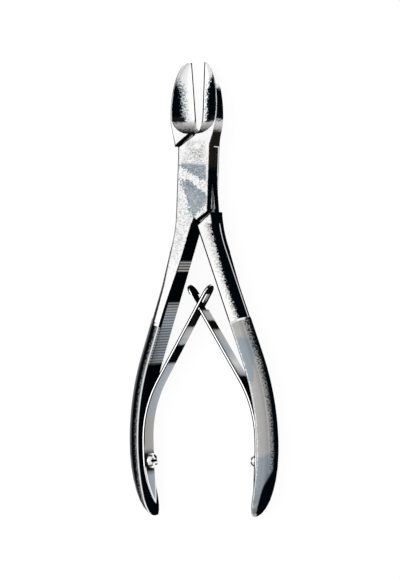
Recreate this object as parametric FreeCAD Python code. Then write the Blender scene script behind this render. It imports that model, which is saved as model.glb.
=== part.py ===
import FreeCAD, Part
import math
import os

os.makedirs("parts", exist_ok=True)

# Bone cutting forceps with a box joint and two interlocked leaf springs.
# It lies on its back: X to the right, Y towards the jaws, Z up to the front face.
# The pin's axis is the Z axis. Both levers are drawn closed and then turned open.

# Overall sizes, in millimetres
DEPTH = 10.4
JAW_REACH = 45.8
OPEN_HALF = 3.3

# Jaws
JAW_HALF = 8.45
JAW_WIDE_AT = 25.0
TIP_HALF = 1.2
JAW_TAPER_AT = 14.0
TIP_FRONT = 6.0
TIP_BACK = 2.4
EDGE_HEIGHT = 3.6
EDGE_GAP = 0.04
BACK_BEVEL = 3.9
BEVEL_SETBACK = 0.6
BEVEL_RUNOUT = 2.4
BEVEL_START_SHARE = 0.08
BACK_ROUND = 2.2
RIM = 0.55
HOLLOW_HEEL = 7.2
HOLLOW_PAST_TIP = 0.5

# Box joint
BOX_HALF = 6.9
SHOULDER_OUTER = 12.2
SHOULDER_INNER = 17.3
PLATE = 3.1
LAP_GAP = 0.05
SHOULDER_GAP = 1.1
EDGE_BREAK = 0.35

# Pin
PIN_RADIUS = 2.5
PIN_FIT = 0.03
PIN_SEAT_GAP = 0.01
PIN_FLARE = 0.5

# Handles, measured along the inner face from the fork
SHANK_ANGLE = 15.7
SHANK_RUN = 55.8
SHANK_WIDTH = 5.6
NECK_RUN = 14.0
BOX_TAIL = 2.0
SHANK_ROUND = 2.7
SHANK_SUNK = 0.5
BOW_RADIUS = 102.0
BOW_RUN = 62.3
GRIP_AT = 41.0
GRIP_WIDTH = 6.7
GRIP_FACET = 1.9
GRIP_NOSE = 25.0
NOSE_FACET_SHARE = 0.4
GRIP_END_ROUND = 9.0

# Leaf springs, with their places given in the open position
LEAF_THICK = 1.0
LEAF_SEAT_GAP = 0.02
LEAF_CROSSING = 49.0
LEAF_LEAN = 31.2
LEAF_TIP_PAST = 9.1
LEAF_WIDTH = 7.2
FOOT_WIDTH = 9.2
FOOT_LIFT_AT = 86.5
FOOT_RUN = 27.0
FOOT_OGIVE = 15.0
OGIVE_PULL = 0.6
OGIVE_FULLNESS = 0.9
FOOT_POINT = 0.6
FLEX_AT = 76.2
FLEX_GAP = 0.12
SLOT_WIDTH = 3.8
SLOT_BELOW = 1.9
SLOT_ABOVE = 5.0
NECK_WIDTH = 3.2
NECK_BELOW = 2.1
NECK_ABOVE = 4.9

# Leaf screws
SCREW_AT = 96.3
SCREW_HEAD_RADIUS = 3.0
SCREW_HEAD_HEIGHT = 3.2
SCREW_HEAD_RIM = 1.3
SCREW_RADIUS = 1.5
SCREW_DEPTH = 4.2
SCREW_CLEARANCE = 0.05
SCREW_SLOT_WIDTH = 0.9
SCREW_SLOT_DEPTH = 1.3

# Worked out from the sizes above
MID = DEPTH / 2
REACH_PAST = 4.0
OVERRUN = 1.0
CURVE_PULL = 0.5523
HANDLE_RUN = SHANK_RUN + BOW_RUN
FULL = 2 * (JAW_REACH + HANDLE_RUN)


# General helpers

def vec(x, y, z=0.0):
    return FreeCAD.Vector(x, y, z)


def line(start, end):
    return Part.LineSegment(start, end).toShape()


def curve(*poles):
    bezier = Part.BezierCurve()
    bezier.setPoles(list(poles))
    return bezier.toShape()


def quarter(start, corner, end):
    """A quarter of an oval that leaves start towards corner and ends at end."""
    first = start + (corner - start) * CURVE_PULL
    second = end + (corner - end) * CURVE_PULL
    return curve(start, first, second, end)


def ess(start, end):
    """Two equal arcs that leave start and reach end along the Y direction."""
    across = end.x - start.x
    down = end.y - start.y
    turn = 2 * math.atan2(abs(across), abs(down))
    radius = abs(down) / (2 * math.sin(turn))
    share = (1 - math.cos(turn / 2)) / (1 - math.cos(turn))
    middle = (start + end) / 2
    first = vec(start.x + across / 2 * share, start.y + math.copysign(radius * math.sin(turn / 2), down))
    second = vec(end.x - across / 2 * share, end.y - math.copysign(radius * math.sin(turn / 2), down))
    return [Part.Arc(start, first, middle).toShape(), Part.Arc(middle, second, end).toShape()]


def bend(start, corner, end):
    """A straight run, bent round its corner by one arc that begins at start."""
    into = (corner - start).normalize()
    out = (end - corner).normalize()
    tangent = (corner - start).Length
    leave = corner + out * tangent
    half_turn = into.getAngle(out) / 2
    inwards = (out - into).normalize()
    middle = corner + inwards * tangent * (1 - math.cos(half_turn)) / math.sin(half_turn)
    return [Part.Arc(start, middle, leave).toShape(), line(leave, end)]


def prism(points, low, high):
    """A flat outline in plan, raised from one height to another."""
    corners = [vec(x, y, low) for x, y in points]
    outline = Part.makePolygon(corners + corners[:1])
    return Part.Face(outline).extrude(vec(0, 0, high - low))


def raised(edges, low, high):
    """An outline of straight and curved edges at height low, raised to height high."""
    outline = Part.Wire(Part.sortEdges(edges)[0])
    face = Part.Face(outline)
    face.validate()
    return face.extrude(vec(0, 0, high - low))


def mirrored(shape):
    return shape.mirror(vec(0, 0, 0), vec(1, 0, 0))


def flipped(point):
    return vec(-point.x, point.y, point.z)


def turned(shape, angle):
    moved = shape.copy()
    moved.rotate(vec(0, 0, 0), vec(0, 0, 1), angle)
    return moved


def swung(x, y, angle):
    """A point in plan after a turn about the pin."""
    c = math.cos(math.radians(angle))
    s = math.sin(math.radians(angle))
    return x * c - y * s, x * s + y * c


def joined(first, *others):
    return first.fuse(list(others)).removeSplitter()


# Right jaw, drawn closed with its edge on the centre line

def front_height(y):
    """Height of the front face, which slopes down from the joint to the tip."""
    slope = (DEPTH - TIP_FRONT) / (JAW_REACH - JAW_TAPER_AT)
    return DEPTH - slope * (y - JAW_TAPER_AT)


def back_height(y):
    slope = TIP_BACK / (JAW_REACH - JAW_TAPER_AT)
    return slope * (y - JAW_TAPER_AT)


def jaw_outline():
    """Edges of the jaw's outer side, from the tip down to the box."""
    oval_reach = (JAW_REACH - JAW_WIDE_AT) / math.sqrt(1 - (TIP_HALF / JAW_HALF) ** 2)
    tip_corner = vec(TIP_HALF, JAW_REACH)
    widest = vec(JAW_HALF, JAW_WIDE_AT)
    oval = Part.Ellipse(vec(0, JAW_WIDE_AT + oval_reach), widest, vec(0, JAW_WIDE_AT))
    start = oval.parameter(tip_corner)
    end = oval.parameter(widest)
    rounded = Part.ArcOfEllipse(oval, min(start, end), max(start, end)).toShape()
    waist = vec(BOX_HALF, SHOULDER_OUTER)
    return [line(vec(0, JAW_REACH), tip_corner), rounded] + ess(widest, waist)


def taper_tool(height_at, outside):
    """A wedge that slopes one face of the jaws, from that face to a height outside it."""
    far = JAW_REACH + REACH_PAST
    corners = [vec(-FULL, JAW_TAPER_AT, height_at(JAW_TAPER_AT)), vec(-FULL, far, height_at(far))]
    corners += [vec(-FULL, far, outside), vec(-FULL, JAW_TAPER_AT, outside)]
    return Part.Face(Part.makePolygon(corners + corners[:1])).extrude(vec(2 * FULL, 0, 0))


def hollow_section(y, half, depth):
    """A trough across both jaws: half an oval, open at the front."""
    top = front_height(y)
    roof = DEPTH + REACH_PAST
    left = vec(-half, y, top)
    right = vec(half, y, top)
    bottom = vec(0, y, top - depth)
    edges = [quarter(left, vec(-half, y, top - depth), bottom)]
    edges.append(quarter(bottom, vec(half, y, top - depth), right))
    edges.append(line(right, vec(half, y, roof)))
    edges.append(line(vec(half, y, roof), vec(-half, y, roof)))
    edges.append(line(vec(-half, y, roof), left))
    return Part.Wire(edges)


def hollow_tool():
    """The oval hollow in front of the cutting edges: steep at the rim, flat at the edge."""
    widest = JAW_HALF - RIM
    sections = []
    for angle in (-82, -68, -50, -30, -10, 10, 30, 46, 60, 72, 82):
        swing = math.radians(angle)
        half = widest * math.cos(swing)
        if angle < 0:
            y = JAW_WIDE_AT + HOLLOW_HEEL * math.sin(swing)
            depth = (front_height(y) - EDGE_HEIGHT) * math.cos(swing)
        else:
            y = JAW_WIDE_AT + (JAW_REACH + HOLLOW_PAST_TIP - JAW_WIDE_AT) * math.sin(swing)
            depth = front_height(y) - EDGE_HEIGHT
        sections.append(hollow_section(y, half, depth))
    return Part.makeLoft(sections, True, True)


def bevel_tool():
    """The wedge behind the cutting edges, with a sloped end at the heel."""
    start = SHOULDER_INNER + BEVEL_SETBACK
    far = JAW_REACH + REACH_PAST
    low = -OVERRUN
    wide = BACK_BEVEL * (EDGE_HEIGHT - low) / EDGE_HEIGHT
    rows = []
    for y, share in ((start, BEVEL_START_SHARE), (start + BEVEL_RUNOUT, 1.0), (far, 1.0)):
        peak = vec(0, y, low + (EDGE_HEIGHT - low) * share)
        corners = [vec(-wide * share, y, low), peak, vec(wide * share, y, low)]
        rows.append(Part.makePolygon(corners + corners[:1]))
    return Part.makeLoft(rows, True, True)


# Handles, drawn on the right

def inner_face(run):
    """Place on the handle's inner face and the angle of its direction from straight down."""
    lean = math.radians(SHANK_ANGLE)
    straight = min(run, SHANK_RUN)
    x = EDGE_GAP / 2 + straight * math.sin(lean)
    y = -SHOULDER_INNER - straight * math.cos(lean)
    if run <= SHANK_RUN:
        return x, y, lean
    now = lean - (run - SHANK_RUN) / BOW_RADIUS
    x += BOW_RADIUS * (math.cos(now) - math.cos(lean))
    y -= BOW_RADIUS * (math.sin(lean) - math.sin(now))
    return x, y, now


def beside(run, out, height=0.0):
    """A point set outwards from the inner face and up from the back plane."""
    x, y, lean = inner_face(run)
    return vec(x + out * math.cos(lean), y + out * math.sin(lean), height)


def shank_section(run, rounding):
    """Flat inner, front and back faces with two rounded outer corners."""
    w = SHANK_WIDTH
    r = rounding
    path = [(0, 0), (0, DEPTH), (w - r, DEPTH), (w, DEPTH), (w, DEPTH - r), (w, r), (w, 0), (w - r, 0)]
    p = [beside(run, out, height) for out, height in path]
    edges = [line(p[0], p[1]), line(p[1], p[2]), quarter(p[2], p[3], p[4])]
    edges += [line(p[4], p[5]), quarter(p[5], p[6], p[7]), line(p[7], p[0])]
    return Part.Wire(edges)


def grip_section(run, width, facet, half_depth):
    """A flat inner face, two narrow side facets and half an oval outside."""
    low = MID - half_depth
    high = MID + half_depth
    path = [(0, low), (0, high), (facet, high), (width, high), (width, MID), (width, low), (facet, low)]
    p = [beside(run, out, height) for out, height in path]
    edges = [line(p[0], p[1]), line(p[1], p[2]), quarter(p[2], p[3], p[4])]
    edges += [quarter(p[4], p[5], p[6]), line(p[6], p[0])]
    return Part.Wire(edges)


def oval_share(distance, length):
    """Height of a quarter oval, as a share, at a distance from its end."""
    if distance >= length:
        return 1.0
    return math.sqrt(1 - (1 - distance / length) ** 2)


def shank():
    """Straight shank whose outer corners grow rounder from the neck to its middle."""
    middle = (NECK_RUN + GRIP_AT) / 2
    ends = [shank_section(NECK_RUN, 2 * EDGE_BREAK), shank_section(middle, SHANK_ROUND)]
    rounder = Part.makeLoft(ends, True, True)
    along = beside(GRIP_AT + SHANK_SUNK, 0) - beside(middle, 0)
    even = Part.Face(shank_section(middle, SHANK_ROUND)).extrude(along)
    return joined(rounder, even)


def grip_nose():
    """End of the grip, round both in plan and from the side."""
    sections = []
    for share in (1.0, 0.8, 0.61, 0.44, 0.29, 0.17, 0.08, 0.03, 0.01):
        left = GRIP_NOSE * share
        width = GRIP_WIDTH * oval_share(left, GRIP_NOSE)
        facet = min(GRIP_FACET, width * NOSE_FACET_SHARE)
        half_depth = MID * oval_share(left, GRIP_END_ROUND)
        sections.append(grip_section(HANDLE_RUN - left, width, facet, half_depth))
    within_bow = Part.makeCylinder(BOW_RADIUS, DEPTH, beside(SHANK_RUN, -BOW_RADIUS))
    return Part.makeLoft(sections, True, True).cut(within_bow)


def grip():
    """Oval grip: a straight start, a bow of one radius, and the nose."""
    start = Part.Face(grip_section(GRIP_AT, GRIP_WIDTH, GRIP_FACET, MID))
    bowed = Part.Face(grip_section(SHANK_RUN, GRIP_WIDTH, GRIP_FACET, MID))
    along = beside(SHANK_RUN, 0) - beside(GRIP_AT, 0)
    centre = beside(SHANK_RUN, -BOW_RADIUS)
    turn = math.degrees((BOW_RUN - GRIP_NOSE) / BOW_RADIUS)
    bow = bowed.revolve(centre, vec(0, 0, -1), turn)
    return joined(start.extrude(along), bow, grip_nose())


def screw_frame():
    """Foot of the screw on the inner face and the direction of its axis into the handle."""
    lean = inner_face(SCREW_AT)[2]
    return beside(SCREW_AT, 0, MID), vec(math.cos(lean), math.sin(lean), 0)


def screw_hole():
    """Blind hole for a leaf's screw, open well past the leaf."""
    place, inwards = screw_frame()
    past = 2 * LEAF_THICK
    depth = SCREW_DEPTH + 2 * SCREW_CLEARANCE
    return Part.makeCylinder(SCREW_RADIUS + SCREW_CLEARANCE, depth + past, place - inwards * past, inwards)


# Levers

def lap_outline(side, growth):
    """Plan of one lever's half of the lap. Side 1 keeps the right jaw and the left handle."""
    slope = (SHOULDER_INNER - SHOULDER_OUTER) / BOX_HALF
    inner = SHOULDER_INNER + growth
    wide = BOX_HALF + REACH_PAST
    outer = inner - slope * wide
    corners = [(-side * wide, outer), (0, inner), (side * wide, inner)]
    corners += [(side * wide, -outer), (0, -inner), (-side * wide, -inner)]
    return corners


def blank(shoulder_shift):
    """Right jaw, box and left neck as one plate of full depth."""
    inner = SHOULDER_INNER + shoulder_shift
    outer = SHOULDER_OUTER + shoulder_shift
    lean = math.radians(SHANK_ANGLE)
    out = beside(NECK_RUN, SHANK_WIDTH)
    fork = flipped(beside(0, 0))
    neck_in = flipped(beside(NECK_RUN, 0))
    neck_out = flipped(out)
    side_end = vec(-BOX_HALF, -SHOULDER_OUTER - BOX_TAIL)
    corner = vec(-BOX_HALF, out.y + (out.x - BOX_HALF) / math.tan(lean))
    edges = [line(vec(0, inner), vec(0, JAW_REACH))]
    edges += jaw_outline()
    edges.append(line(vec(BOX_HALF, SHOULDER_OUTER), vec(BOX_HALF, -outer)))
    edges.append(line(vec(BOX_HALF, -outer), vec(0, -inner)))
    edges.append(line(vec(0, -inner), fork))
    edges.append(line(fork, neck_in))
    edges.append(line(neck_in, neck_out))
    edges += bend(side_end, corner, neck_out)
    edges.append(line(side_end, vec(-BOX_HALF, outer)))
    edges.append(line(vec(-BOX_HALF, outer), vec(0, inner)))
    plate = raised(edges, 0, DEPTH).cut(taper_tool(back_height, -REACH_PAST))
    plate = plate.makeFillet(BACK_ROUND, [edge for edge in plate.Edges if on_jaw_back(edge)])
    return plate.makeChamfer(EDGE_BREAK, [edge for edge in plate.Edges if on_thin_side(edge)])


def is_curved(edge):
    return edge.Curve.TypeId != "Part::GeomLine"


def on_jaw_back(edge):
    """True for the curved edges along the jaw's sloped back."""
    box = edge.BoundBox
    return is_curved(edge) and box.ZMax < MID and box.YMin > JAW_TAPER_AT - EDGE_BREAK


def on_thin_side(edge):
    """True for the front edge down the jaw's side and for both edges on the neck's side."""
    box = edge.BoundBox
    level = box.ZLength < EDGE_GAP
    down_box = box.XLength < EDGE_GAP / 2 and box.YLength > SHOULDER_OUTER and abs(box.XMax) > BOX_HALF / 2
    return level and (is_curved(edge) or down_box) and (box.ZMin > MID or box.XMax < 0)


def lever_body(shoulder_shift):
    """A lever before its joint is cut: right jaw, box, left handle."""
    heel = SHOULDER_INNER + shoulder_shift
    parting = Part.makeBox(OVERRUN + EDGE_GAP / 2, JAW_REACH, DEPTH + 2 * OVERRUN, vec(-OVERRUN, heel, -OVERRUN))
    body = blank(shoulder_shift).cut([taper_tool(front_height, DEPTH + REACH_PAST), parting])
    body = body.cut([hollow_tool(), bevel_tool()])
    handle = joined(shank(), grip()).cut(screw_hole())
    return joined(body, mirrored(handle))


def female_lever():
    """Front and back plates with a slot between them for the other lever's tongue."""
    body = lever_body(0)
    slot = prism(lap_outline(-1, 0), PLATE, DEPTH - PLATE)
    body = body.cut([slot, pin_shape(PIN_SEAT_GAP)])
    return turned(body, -OPEN_HALF)


def male_lever():
    """Left jaw and right handle with a thin tongue between them."""
    body = mirrored(lever_body(-SHOULDER_GAP))
    corners = lap_outline(1, SHOULDER_GAP)
    front = prism(corners, DEPTH - PLATE - LAP_GAP, DEPTH + OVERRUN)
    back = prism(corners, -OVERRUN, PLATE + LAP_GAP)
    bore = Part.makeCylinder(PIN_RADIUS + PIN_FIT, DEPTH)
    return turned(body.cut([front, back, bore]), OPEN_HALF)


def pin_shape(growth):
    """A rivet pin with flared ends, ground flush with both plates."""
    r = PIN_RADIUS + growth
    flare = PIN_RADIUS + PIN_FLARE + growth
    profile = [vec(0, 0, 0), vec(flare, 0, 0), vec(r, 0, PIN_FLARE), vec(r, 0, DEPTH - PIN_FLARE)]
    profile += [vec(flare, 0, DEPTH), vec(0, 0, DEPTH)]
    face = Part.Face(Part.makePolygon(profile + profile[:1]))
    return face.revolve(vec(0, 0, 0), vec(0, 0, 1), 360)


# Leaf springs, drawn in the open position on the right handle

def open_place(run):
    """Place on the right handle's inner face, and its direction, once the lever is open."""
    x, y, lean = inner_face(run)
    x, y = swung(x, y, OPEN_HALF)
    return x, y, lean + math.radians(OPEN_HALF)


def leaf_line():
    """Centre line of a leaf: along the bowed grip, round a free bend, then straight.

    Returns the centres and radii of the two bends, the angles where they start and end,
    and the unit direction of the straight part.
    """
    inset = LEAF_SEAT_GAP + LEAF_THICK / 2
    x, y, lean = open_place(FOOT_LIFT_AT)
    bow_centre = (x - BOW_RADIUS * math.cos(lean), y - BOW_RADIUS * math.sin(lean))
    bow = BOW_RADIUS - inset
    lift = (bow_centre[0] + bow * math.cos(lean), bow_centre[1] + bow * math.sin(lean))
    slant = math.radians(LEAF_LEAN)
    towards = (-math.cos(slant), -math.sin(slant))
    gap = lift[0] * towards[0] + (lift[1] + LEAF_CROSSING) * towards[1]
    pull = -math.cos(lean) * towards[0] - math.sin(lean) * towards[1]
    bend = gap / (1 - pull)
    bend_centre = (lift[0] - bend * math.cos(lean), lift[1] - bend * math.sin(lean))
    return bow_centre, bow, bend_centre, bend, lean, slant


def arc_about(centre, radius, start, end):
    """A bend in plan between two angles, in degrees from the X axis."""
    middle = (start + end) / 2
    points = []
    for angle in (start, middle, end):
        points.append(vec(centre[0] + radius * math.cos(angle), centre[1] + radius * math.sin(angle)))
    return Part.Arc(points[0], points[1], points[2]).toShape()


def leaf_tip(side):
    """End of the straight part, set half a thickness to one side."""
    slant = math.radians(LEAF_LEAN)
    x = -LEAF_TIP_PAST * math.sin(slant) + side * math.cos(slant)
    y = -LEAF_CROSSING + LEAF_TIP_PAST * math.cos(slant) + side * math.sin(slant)
    return vec(x, y)


def leaf_strip():
    """The leaf's bent strip in plan, raised over more than its width."""
    bow_centre, bow, bend_centre, bend, lean, slant = leaf_line()
    foot_angle = lean - FOOT_RUN / BOW_RADIUS
    half = LEAF_THICK / 2
    sides = []
    for offset in (half, -half):
        lower = arc_about(bow_centre, bow + offset, foot_angle, lean)
        upper = arc_about(bend_centre, bend + offset, lean, slant)
        straight = line(upper.Vertexes[-1].Point, leaf_tip(offset))
        sides.append([lower, upper, straight])
    foot_cap = line(sides[0][0].Vertexes[0].Point, sides[1][0].Vertexes[0].Point)
    tip_cap = line(leaf_tip(half), leaf_tip(-half))
    edges = Part.sortEdges(sides[0] + sides[1] + [foot_cap, tip_cap])[0]
    return Part.Face(Part.Wire(edges)).extrude(vec(0, 0, DEPTH))


def across_path(points):
    """Places along the leaf's side view, given by Y and by height from its middle."""
    return [vec(0, y, MID + rise) for y, rise in points]


def leaf_blank():
    """Side view of a leaf: round tip, slowly widening blade and a pointed foot."""
    tip = leaf_tip(0).y
    top_half = LEAF_WIDTH / 2
    foot_half = FOOT_WIDTH / 2
    round_start = tip - top_half * math.cos(math.radians(LEAF_LEAN))
    foot_end = open_place(FOOT_LIFT_AT + FOOT_RUN)[1]
    ogive_start = foot_end + FOOT_OGIVE
    edges = []
    for side in (1, -1):
        p = across_path([(tip, 0), (tip, side * top_half), (round_start, side * top_half)])
        edges.append(quarter(p[0], p[1], p[2]))
        full_at = ogive_start - FOOT_OGIVE * OGIVE_PULL
        q = across_path([(ogive_start, side * foot_half), (full_at, side * foot_half * OGIVE_FULLNESS),
                         (foot_end, side * FOOT_POINT), (foot_end, 0)])
        edges.append(line(p[2], q[0]))
        edges.append(curve(*q))
    outline = Part.Wire(Part.sortEdges(edges)[0])
    outline.translate(vec(-FULL, 0, 0))
    return Part.Face(outline).extrude(vec(2 * FULL, 0, 0))


def side_window(low_y, high_y, low_z, high_z):
    """A block through both leaves, given in side view."""
    return Part.makeBox(2 * FULL, high_y - low_y, high_z - low_z, vec(-FULL, low_y, low_z))


def leaf_whole():
    leaf = leaf_strip().common(leaf_blank())
    hole = turned(screw_hole(), OPEN_HALF)
    return leaf.cut(hole)


def flex_point():
    """Where the leaf's bending is gathered into one hinge: plan place and direction."""
    bow_centre, bow, bend_centre, bend, lean, slant = leaf_line()
    angle = lean + (FOOT_LIFT_AT - FLEX_AT) / bend
    return bend_centre[0] + bend * math.cos(angle), bend_centre[1] + bend * math.sin(angle), angle


def parted(leaf, keep_blade):
    """The leaf's blade above the flexing place, or its foot below it."""
    x, y, angle = flex_point()
    along = (-math.sin(angle), math.cos(angle))
    over = (math.cos(angle), math.sin(angle))
    near = FLEX_GAP / 2 if keep_blade else -FLEX_GAP / 2
    far = -FULL if keep_blade else FULL
    corners = []
    for run, out in ((near, -FULL), (near, FULL), (far, FULL), (far, -FULL)):
        corners.append((x + along[0] * run + over[0] * out, y + along[1] * run + over[1] * out))
    return leaf.cut(prism(corners, -OVERRUN, DEPTH + OVERRUN))


def slotted_blade():
    """Blade with a closed slot near its tip for the other leaf's neck."""
    fall = math.cos(math.radians(LEAF_LEAN))
    low = -LEAF_CROSSING - SLOT_BELOW * fall
    high = -LEAF_CROSSING + SLOT_ABOVE * fall
    window = side_window(low, high, MID - SLOT_WIDTH / 2, MID + SLOT_WIDTH / 2)
    return mirrored(parted(leaf_whole(), True).cut(window))


def headed_blade():
    """Blade with a narrow neck and a wide head that the slot holds."""
    fall = math.cos(math.radians(LEAF_LEAN))
    low = -LEAF_CROSSING - NECK_BELOW * fall
    high = -LEAF_CROSSING + NECK_ABOVE * fall
    upper = side_window(low, high, MID + NECK_WIDTH / 2, DEPTH + OVERRUN)
    lower = side_window(low, high, -OVERRUN, MID - NECK_WIDTH / 2)
    return parted(leaf_whole(), True).cut([upper, lower])


def leaf_foot():
    return parted(leaf_whole(), False)


# Screws

def leaf_screw():
    """Domed, slotted screw that holds a leaf's foot to the right handle."""
    sag = SCREW_HEAD_RADIUS ** 2 / (2 * BOW_RADIUS)
    seat = LEAF_THICK + 2 * LEAF_SEAT_GAP + sag
    dome = SCREW_HEAD_HEIGHT - SCREW_HEAD_RIM
    profile = [vec(-SCREW_DEPTH, 0), vec(-SCREW_DEPTH, SCREW_RADIUS), vec(seat, SCREW_RADIUS)]
    profile += [vec(seat, SCREW_HEAD_RADIUS), vec(seat + SCREW_HEAD_RIM, SCREW_HEAD_RADIUS)]
    for turn in (math.radians(30), math.radians(60)):
        rise = dome * math.sin(turn)
        profile.append(vec(seat + SCREW_HEAD_RIM + rise, SCREW_HEAD_RADIUS * math.cos(turn)))
    profile.append(vec(seat + SCREW_HEAD_HEIGHT, 0))
    body = Part.Face(Part.makePolygon(profile + profile[:1])).revolve(vec(0, 0, 0), vec(1, 0, 0), 360)
    reach = SCREW_HEAD_RADIUS + OVERRUN
    slot_corner = vec(seat + SCREW_HEAD_HEIGHT - SCREW_SLOT_DEPTH, -SCREW_SLOT_WIDTH / 2, -reach)
    slot = Part.makeBox(SCREW_SLOT_DEPTH + OVERRUN, SCREW_SLOT_WIDTH, 2 * reach, slot_corner)
    body = body.cut(slot)
    place, inwards = screw_frame()
    lean = math.degrees(math.atan2(inwards.y, inwards.x))
    body.rotate(vec(0, 0, 0), vec(0, 0, 1), 180 + lean)
    body.translate(place)
    return turned(body, OPEN_HALF)


# Every piece in its own file

def write(name, shape):
    solids = shape.Solids
    piece = solids[0] if len(solids) == 1 else shape
    piece.exportStep(os.path.join("parts", name + ".step"))
    box = piece.optimalBoundingBox()
    print(name, "solids", len(solids), "valid", shape.isValid(), "volume", round(shape.Volume, 2),
          "x", round(box.XMin, 2), round(box.XMax, 2), "y", round(box.YMin, 2), round(box.YMax, 2),
          "z", round(box.ZMin, 2), round(box.ZMax, 2))


write("female_lever", female_lever())
write("male_lever", male_lever())
write("joint_pin", pin_shape(0))
write("right_leaf_foot", leaf_foot())
write("right_leaf_blade", headed_blade())
write("left_leaf_foot", mirrored(leaf_foot()))
write("left_leaf_blade", slotted_blade())
write("right_leaf_screw", leaf_screw())
write("left_leaf_screw", mirrored(leaf_screw()))

flex_x, flex_y, flex_angle = flex_point()
print("flex place", round(flex_x, 3), round(flex_y, 3))
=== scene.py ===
# %% [markdown]
# # Bone cutting forceps
# Two steel levers cross in a box joint, and two leaf springs push the handles apart.
# The solids come from the imported frame, in metres, with the joint's pin along the Z axis
# and the jaws towards +Y. This lesson adds what the eye needs: smooth shading, whole
# springs bent in one strip, satin and polished steel, and a plain studio.
# The steel's reflections, highlights and shade are painted into its colour.

# %% Load the frame
import bpy
import bmesh
import math
import numpy as np
from mathutils import Matrix, Vector


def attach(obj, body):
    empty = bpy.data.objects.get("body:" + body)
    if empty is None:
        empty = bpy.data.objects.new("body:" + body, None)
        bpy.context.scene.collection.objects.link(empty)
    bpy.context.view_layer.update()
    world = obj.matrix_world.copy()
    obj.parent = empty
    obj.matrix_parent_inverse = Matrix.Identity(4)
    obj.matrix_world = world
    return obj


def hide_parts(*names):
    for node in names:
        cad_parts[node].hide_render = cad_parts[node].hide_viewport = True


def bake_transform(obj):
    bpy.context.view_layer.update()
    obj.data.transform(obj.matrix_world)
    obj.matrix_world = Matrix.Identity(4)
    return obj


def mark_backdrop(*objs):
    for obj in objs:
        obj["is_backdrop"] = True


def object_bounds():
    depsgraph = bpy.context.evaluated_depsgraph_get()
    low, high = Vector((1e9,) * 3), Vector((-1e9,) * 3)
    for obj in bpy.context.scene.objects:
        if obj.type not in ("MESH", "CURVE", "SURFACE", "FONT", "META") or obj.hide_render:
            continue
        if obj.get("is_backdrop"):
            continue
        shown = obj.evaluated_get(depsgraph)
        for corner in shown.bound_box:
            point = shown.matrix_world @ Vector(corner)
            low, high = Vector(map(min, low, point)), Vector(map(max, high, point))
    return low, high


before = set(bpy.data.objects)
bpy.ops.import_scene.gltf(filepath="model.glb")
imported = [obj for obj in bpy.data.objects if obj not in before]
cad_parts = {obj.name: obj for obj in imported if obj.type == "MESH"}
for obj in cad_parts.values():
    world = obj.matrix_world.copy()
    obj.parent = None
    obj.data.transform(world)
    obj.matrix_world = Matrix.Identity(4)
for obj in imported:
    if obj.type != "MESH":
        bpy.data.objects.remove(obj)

MM = 0.001
cad_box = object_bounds()
print("nodes", sorted(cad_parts))
print("size in mm", [round((high - low) / MM, 1) for low, high in zip(*cad_box)])

# %% [markdown]
# The camera looks down at the front face and stands 25 degrees to the right of square-on,
# so that it sees the inner side of the left handle and the outer side of the right jaw.
# A long lens from far away keeps the lines almost parallel. One pixel is about 0.39 mm,
# and the camera is aimed so that the joint's pin lands on its pixel in the photograph.

# %% Camera
DEPTH = 10.4
IMAGE_WIDTH = 400
IMAGE_HEIGHT = 579
PIN_PIXEL = (198.6, 179.5)
PIXEL_SIZE = 0.39 * MM
CAMERA_DISTANCE = 1200 * MM
CAMERA_TURN = math.radians(25)
CAMERA_ROLL = math.radians(-1.05)

turn = Matrix.Rotation(CAMERA_TURN, 4, "Y") @ Matrix.Rotation(CAMERA_ROLL, 4, "Z")
backwards = turn @ Vector((0, 0, 1))
from_centre = Vector((PIN_PIXEL[0] - IMAGE_WIDTH / 2, IMAGE_HEIGHT / 2 - PIN_PIXEL[1], 0)) * PIXEL_SIZE
aim = Vector((0, 0, DEPTH / 2 * MM)) - turn @ from_centre
camera_data = bpy.data.cameras.new("camera")
camera_data.lens = camera_data.sensor_width * CAMERA_DISTANCE / (IMAGE_HEIGHT * PIXEL_SIZE)
camera_data.clip_start = 10 * MM
camera = bpy.data.objects.new("camera", camera_data)
camera.matrix_world = Matrix.Translation(aim + backwards * CAMERA_DISTANCE) @ turn
bpy.context.scene.collection.objects.link(camera)
bpy.context.scene.camera = camera
bpy.context.scene.view_settings.view_transform = "Standard"
print("lens", round(camera_data.lens, 1), "mm")

# %% [markdown]
# Shader maths reads best as sums. This class wraps one output of a node, so that
# `1 - mask` or `grain * 0.2 + tone` adds its Math nodes by itself. Every other node comes
# from the method `node`: first its settings, then the values or links of its sockets.


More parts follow.
